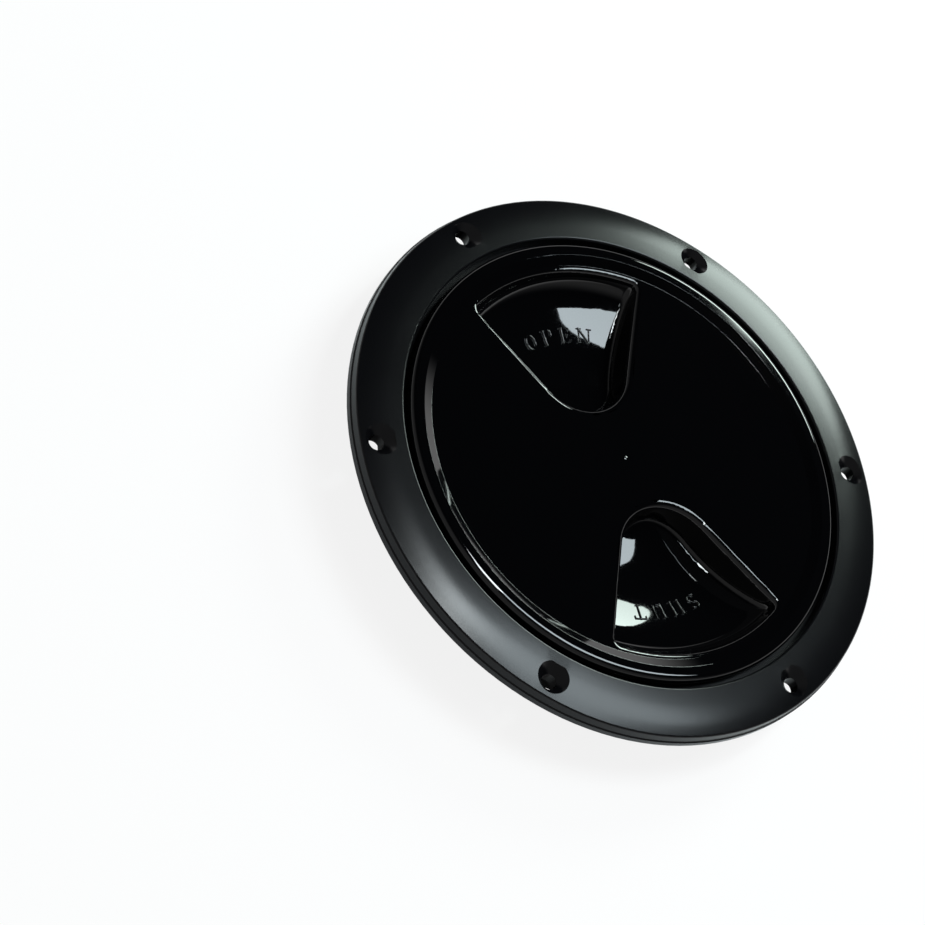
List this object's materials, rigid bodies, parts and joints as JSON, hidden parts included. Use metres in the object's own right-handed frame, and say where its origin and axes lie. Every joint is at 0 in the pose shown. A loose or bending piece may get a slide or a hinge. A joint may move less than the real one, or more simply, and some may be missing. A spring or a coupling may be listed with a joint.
{
  "type": "screw-out deck access plate",
  "caption": "Round black plastic access plate: countersunk flange with a threaded collar, and a flush screw lid with curved finger pockets over a rubber seal.",
  "frame": {"origin": "on the plate's axis, in the plane of the deck that the flange's underside bears on", "axes": "+Z out of the deck along the axis through the lid; +X through one of the screw holes"},
  "size_m": [0.2018, 0.2018, 0.0281],
  "materials": {
    "ring_plastic": "satin moulded",
    "lid_plastic": "gloss moulded",
    "seal_rubber": "matt"
  },
  "bodies": {
    "ring": {"deck_ring": "ring_plastic"},
    "seal": {"o_ring": "seal_rubber"},
    "lid": {"screw_lid": "lid_plastic"}
  },
  "joints": [
    {"name": "lid_lift", "type": "slide", "parent": "ring", "child": "seal", "axis": [0, 0, 1], "range_m": [0, 0.01001]},
    {"name": "lid_turn", "type": "hinge", "parent": "seal", "child": "lid", "pos_m": [0, 0, 0], "axis": [0, 0, 1], "range_deg": [0, 720]}
  ],
  "couplings": [
    {"joint": "lid_lift", "follows": "lid_turn", "m_per_rad": 0.00079577}
  ]
}
